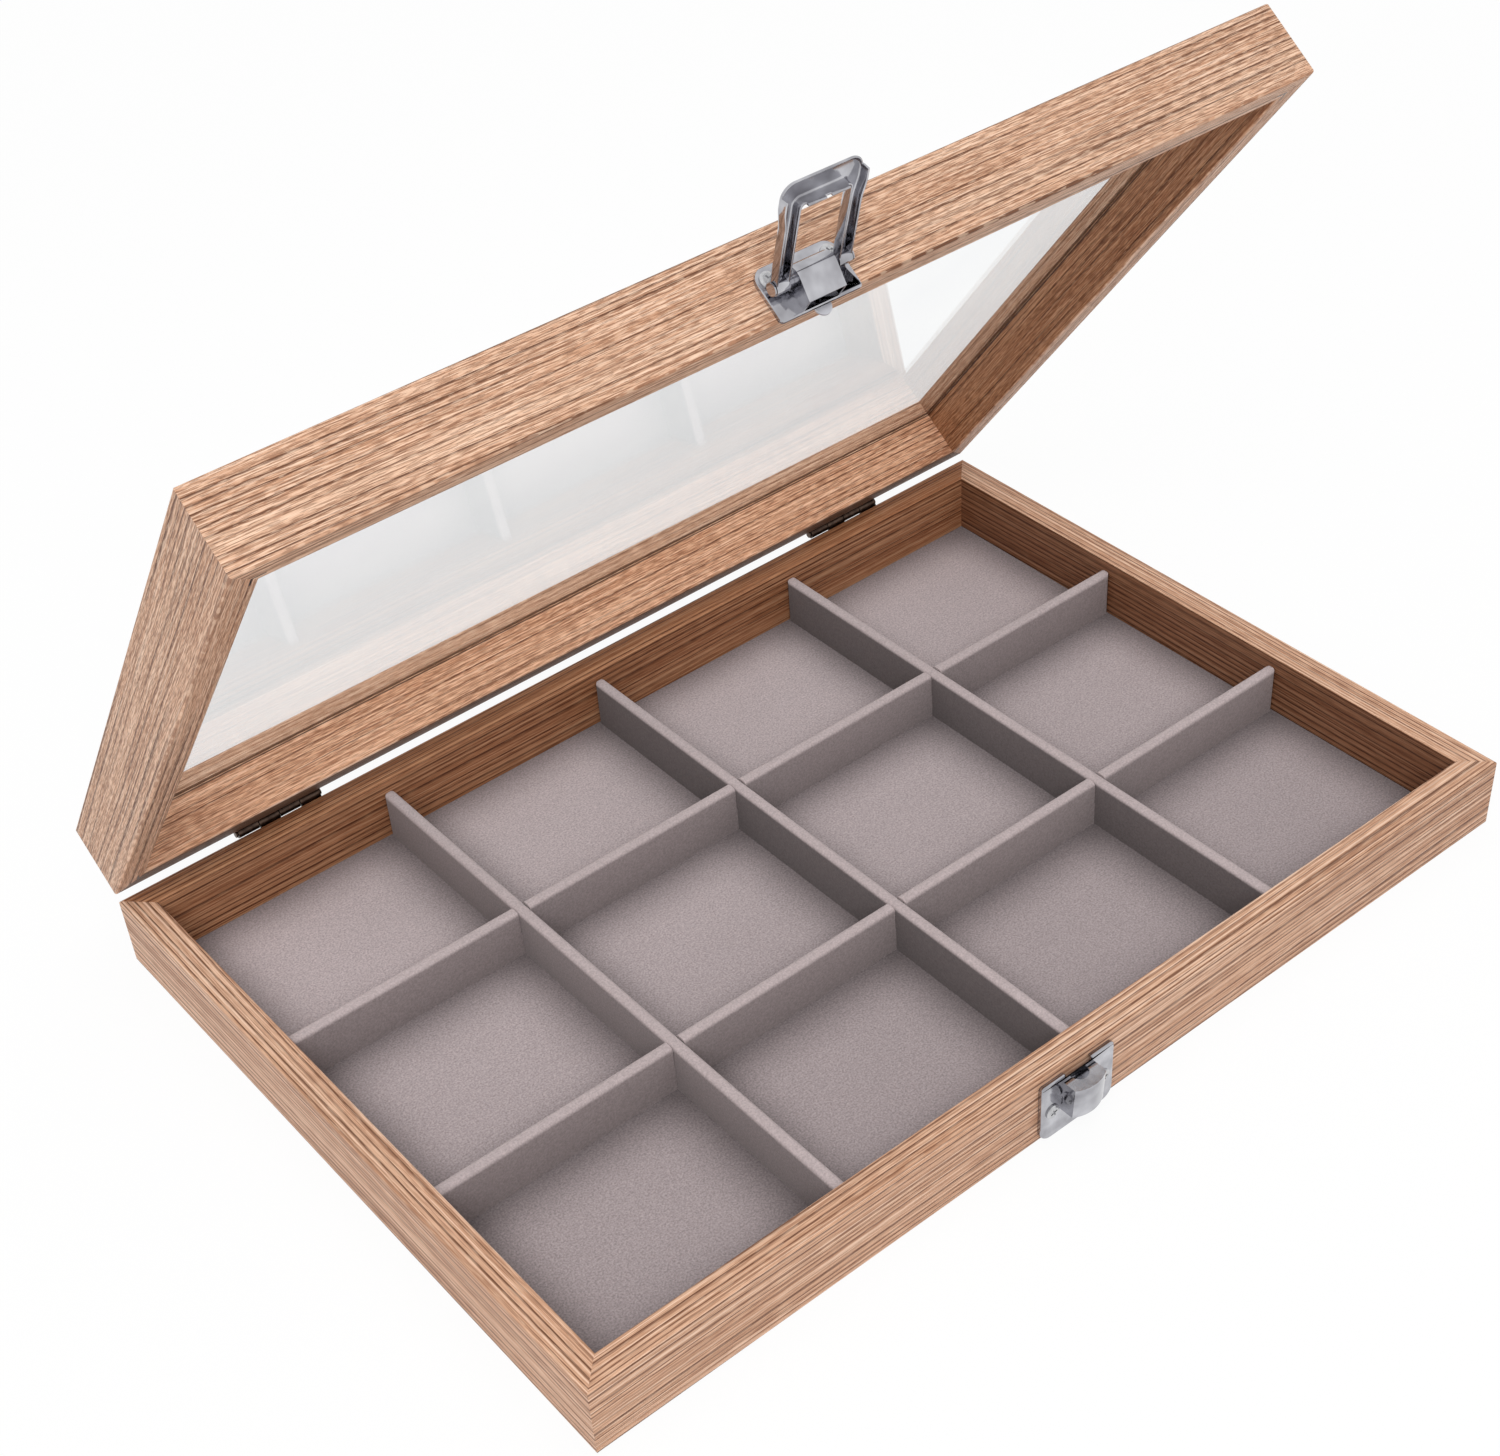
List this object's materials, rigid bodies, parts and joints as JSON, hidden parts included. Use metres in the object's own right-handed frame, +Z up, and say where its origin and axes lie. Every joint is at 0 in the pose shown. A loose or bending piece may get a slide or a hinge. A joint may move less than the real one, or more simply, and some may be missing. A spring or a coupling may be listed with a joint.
{
  "type": "jewelry organizer box",
  "caption": "Shallow wood-finish case with a hinged glass-topped lid, a metal draw latch and a velvet-lined tray divided into small compartments.",
  "frame": {"origin": "centre of the tray's underside, on the surface that the case stands on", "axes": "+X to the right along the front, seen from the front; +Y from the front with its latch to the back with its hinges; +Z up"},
  "size_m": [0.35, 0.2678, 0.2556],
  "materials": {
    "wood_foil": "straight-grained light oak print, satin",
    "panel_board": "bare hardboard, matt",
    "velvet": "warm grey flocked velvet",
    "glass": "clear",
    "latch_chrome": "nickel plated, polished",
    "screw_steel": "zinc plated",
    "nail_steel": "plain",
    "hinge_bronze": "dark antique bronze, satin"
  },
  "bodies": {
    "tray": {"tray_front_rail": "wood_foil", "tray_back_rail": "wood_foil", "tray_left_rail": "wood_foil", "tray_right_rail": "wood_foil", "bottom_panel": "panel_board", "floor_pad": "velvet", "divider_long_front": "velvet", "divider_long_back": "velvet", "divider_short_left": "velvet", "divider_short_middle": "velvet", "divider_short_right": "velvet", "tray_corner_nails": "nail_steel", "keeper_plate": "latch_chrome", "keeper_hook": "latch_chrome", "keeper_pin": "latch_chrome", "keeper_screws": "screw_steel", "hinge_left_tray_leaf": "hinge_bronze", "hinge_right_tray_leaf": "hinge_bronze", "hinge_left_pin": "hinge_bronze", "hinge_right_pin": "hinge_bronze", "hinge_tray_screws": "hinge_bronze"},
    "lid": {"lid_front_rail": "wood_foil", "lid_back_rail": "wood_foil", "lid_left_rail": "wood_foil", "lid_right_rail": "wood_foil", "glass_pane": "glass", "lid_corner_nails": "nail_steel", "hinge_left_lid_leaf": "hinge_bronze", "hinge_right_lid_leaf": "hinge_bronze", "hinge_lid_screws": "hinge_bronze", "latch_plate": "latch_chrome", "latch_housing": "latch_chrome", "latch_pin": "latch_chrome", "latch_spring": "screw_steel", "latch_nose": "latch_chrome", "latch_screws": "screw_steel"},
    "bail": {"latch_bail": "latch_chrome"}
  },
  "joints": [
    {"name": "lid_hinge", "type": "hinge", "parent": "tray", "child": "lid", "pos_m": [0, 0.122, 0.02515], "axis": [-1, 0, 0], "range_deg": [-52.9, 127.1]},
    {"name": "bail_pivot", "type": "hinge", "parent": "lid", "child": "bail", "pos_m": [-0.008, -0.02115, 0.22595], "axis": [-1, 0, 0], "range_deg": [-112, 43]}
  ]
}
